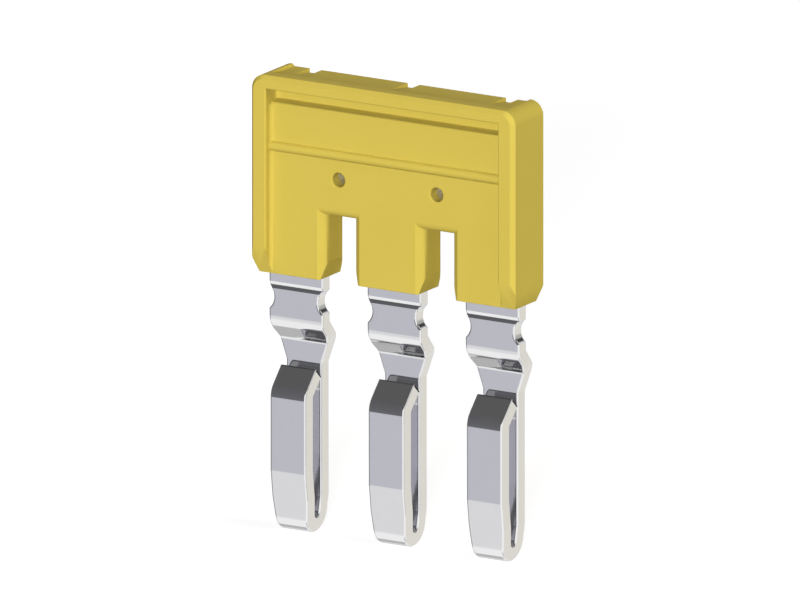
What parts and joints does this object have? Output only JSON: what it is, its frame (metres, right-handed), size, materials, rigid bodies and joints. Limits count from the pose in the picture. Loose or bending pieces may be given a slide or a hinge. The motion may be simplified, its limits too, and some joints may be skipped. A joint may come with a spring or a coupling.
{
  "type": "terminal jumper",
  "caption": "Plug-in jumper for rail terminals: hairpin spring contacts on a shared bus bar, moulded into a yellow insulating housing with rims and a gripping groove.",
  "frame": {"origin": "middle of the housing's underside, where it seats on the terminals, on the mid-plane of the contact strip", "axes": "+X along the row of poles, -Y towards the panel side that the picture shows, +Z away from the terminals"},
  "size_m": [0.0138, 0.0028, 0.021],
  "materials": {
    "housing_plastic": "satin moulded polyamide",
    "tinned_contact": "bright tin plate on copper alloy"
  },
  "bodies": {
    "root": {"insulating_housing": "housing_plastic", "contact_comb": "tinned_contact"}
  },
  "joints": []
}
